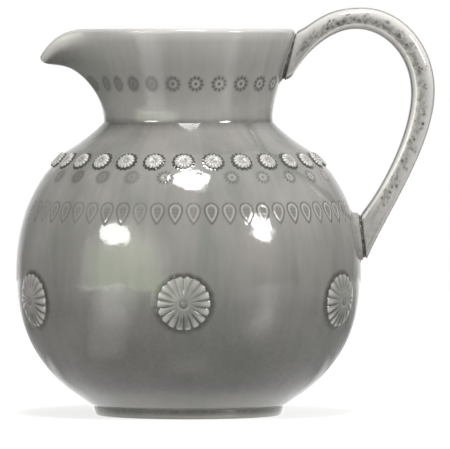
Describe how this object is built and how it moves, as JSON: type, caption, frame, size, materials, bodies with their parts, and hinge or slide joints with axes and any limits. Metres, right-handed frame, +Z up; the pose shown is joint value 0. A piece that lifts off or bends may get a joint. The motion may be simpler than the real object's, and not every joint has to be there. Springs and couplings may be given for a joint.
{
  "type": "jug",
  "caption": "Round-bellied glazed stoneware jug on a foot ring, with a flared neck, a pulled pouring lip, a loop handle and moulded flower reliefs; holds and pours drinks.",
  "frame": {"origin": "centre of the foot ring's flat underside, on the jug's axis", "axes": "+Z up along the jug's axis, +X towards the handle, -X towards the pouring lip"},
  "size_m": [0.1927, 0.1638, 0.1875],
  "materials": {
    "grey_glaze": "glossy semi-transparent grey glaze, darker where it pools",
    "handle_glaze": "glossy grey glaze broken to cream over stamped flowers",
    "relief_glaze": "glossy grey glaze broken to cream on the petals, dark between them",
    "foot_glaze": "grey glaze wiped thin towards the foot's edge"
  },
  "bodies": {
    "root": {"body": "grey_glaze", "neck_spout": "grey_glaze", "handle": "handle_glaze", "foot_ring": "foot_glaze", "belly_rosette_1": "relief_glaze", "belly_rosette_2": "relief_glaze", "belly_rosette_3": "relief_glaze", "belly_rosette_4": "relief_glaze", "belly_rosette_5": "relief_glaze", "belly_rosette_6": "relief_glaze", "shoulder_daisy_01": "relief_glaze", "shoulder_daisy_02": "relief_glaze", "shoulder_daisy_03": "relief_glaze", "shoulder_daisy_04": "relief_glaze", "shoulder_daisy_05": "relief_glaze", "shoulder_daisy_06": "relief_glaze", "shoulder_daisy_07": "relief_glaze", "shoulder_daisy_08": "relief_glaze", "shoulder_daisy_09": "relief_glaze", "shoulder_daisy_10": "relief_glaze", "shoulder_daisy_11": "relief_glaze", "shoulder_daisy_12": "relief_glaze", "shoulder_daisy_13": "relief_glaze", "shoulder_daisy_14": "relief_glaze", "shoulder_daisy_15": "relief_glaze", "shoulder_daisy_16": "relief_glaze", "shoulder_daisy_17": "relief_glaze", "shoulder_daisy_18": "relief_glaze", "shoulder_daisy_19": "relief_glaze", "shoulder_daisy_20": "relief_glaze", "shoulder_daisy_21": "relief_glaze", "shoulder_daisy_22": "relief_glaze", "shoulder_daisy_23": "relief_glaze", "shoulder_daisy_24": "relief_glaze", "shoulder_daisy_25": "relief_glaze", "shoulder_daisy_26": "relief_glaze", "shoulder_daisy_27": "relief_glaze", "shoulder_daisy_28": "relief_glaze"}
  },
  "joints": []
}
